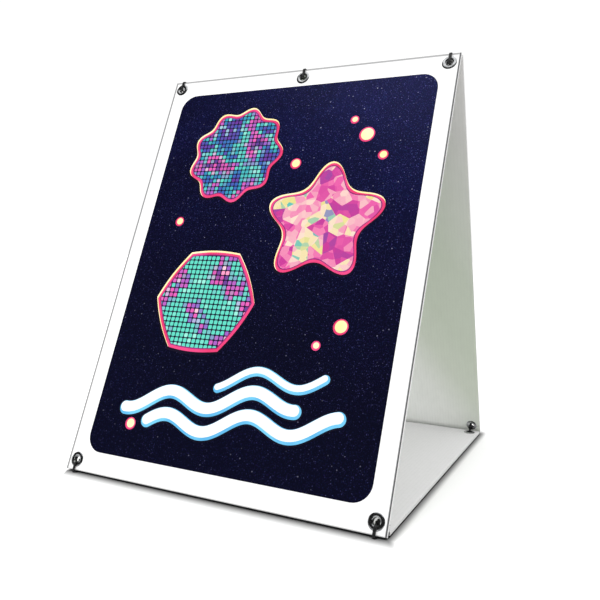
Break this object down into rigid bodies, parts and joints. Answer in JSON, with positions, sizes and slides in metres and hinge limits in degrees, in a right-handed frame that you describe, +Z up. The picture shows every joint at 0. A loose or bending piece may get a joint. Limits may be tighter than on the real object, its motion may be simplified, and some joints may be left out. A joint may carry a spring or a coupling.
{
  "type": "a-frame sign",
  "caption": "Free-standing folding floor sign: two sloping printed faces and a flat base of fluted plastic board, laced with cable ties through metal grommets.",
  "frame": {"origin": "on the floor, under the middle of the sign", "axes": "+X across the sign, to the right for a person facing the front; -Y the way the front face looks; +Z up"},
  "size_m": [0.4572, 0.4838, 0.5679],
  "materials": {
    "base_board": "white fluted polypropylene board, satin skins",
    "face_board": "white fluted polypropylene board, satin skins",
    "print": null,
    "grommet": "nickel plated, polished",
    "tie": "black nylon, satin"
  },
  "bodies": {
    "base": {"base_panel": "base_board", "base_eyelet_front_left": "grommet", "base_eyelet_front_right": "grommet", "base_eyelet_rear_left": "grommet", "base_eyelet_rear_right": "grommet", "base_washer_front_left": "grommet", "base_washer_front_right": "grommet", "base_washer_rear_left": "grommet", "base_washer_rear_right": "grommet", "front_tie_left": "tie", "front_tie_right": "tie", "rear_tie_left": "tie", "rear_tie_right": "tie"},
    "front": {"front_panel": "face_board", "front_print": "print", "front_eyelet_low_left": "grommet", "front_eyelet_low_right": "grommet", "front_eyelet_top_left": "grommet", "front_eyelet_top_mid": "grommet", "front_eyelet_top_right": "grommet", "front_washer_low_left": "grommet", "front_washer_low_right": "grommet", "front_washer_top_left": "grommet", "front_washer_top_mid": "grommet", "front_washer_top_right": "grommet", "ridge_tie_left": "tie", "ridge_tie_mid": "tie", "ridge_tie_right": "tie"},
    "rear": {"rear_panel": "face_board", "rear_print": "print", "rear_eyelet_low_left": "grommet", "rear_eyelet_low_right": "grommet", "rear_eyelet_top_left": "grommet", "rear_eyelet_top_mid": "grommet", "rear_eyelet_top_right": "grommet", "rear_washer_low_left": "grommet", "rear_washer_low_right": "grommet", "rear_washer_top_left": "grommet", "rear_washer_top_mid": "grommet", "rear_washer_top_right": "grommet"}
  },
  "joints": [
    {"name": "front_fold", "type": "hinge", "parent": "base", "child": "front", "pos_m": [0, -0.2338, 0.00625], "axis": [1, 0, 0], "range_deg": [0, 112.57], "deforming": ["front_tie_left", "front_tie_right"]},
    {"name": "rear_fold", "type": "hinge", "parent": "front", "child": "rear", "pos_m": [0, 0, 0.56447], "axis": [1, 0, 0], "range_deg": [-43.66, 0], "deforming": ["ridge_tie_left", "ridge_tie_mid", "ridge_tie_right", "rear_tie_left", "rear_tie_right"]}
  ],
  "couplings": [
    {"joint": "rear_fold", "follows": "front_fold", "ratio": -0.38774}
  ]
}
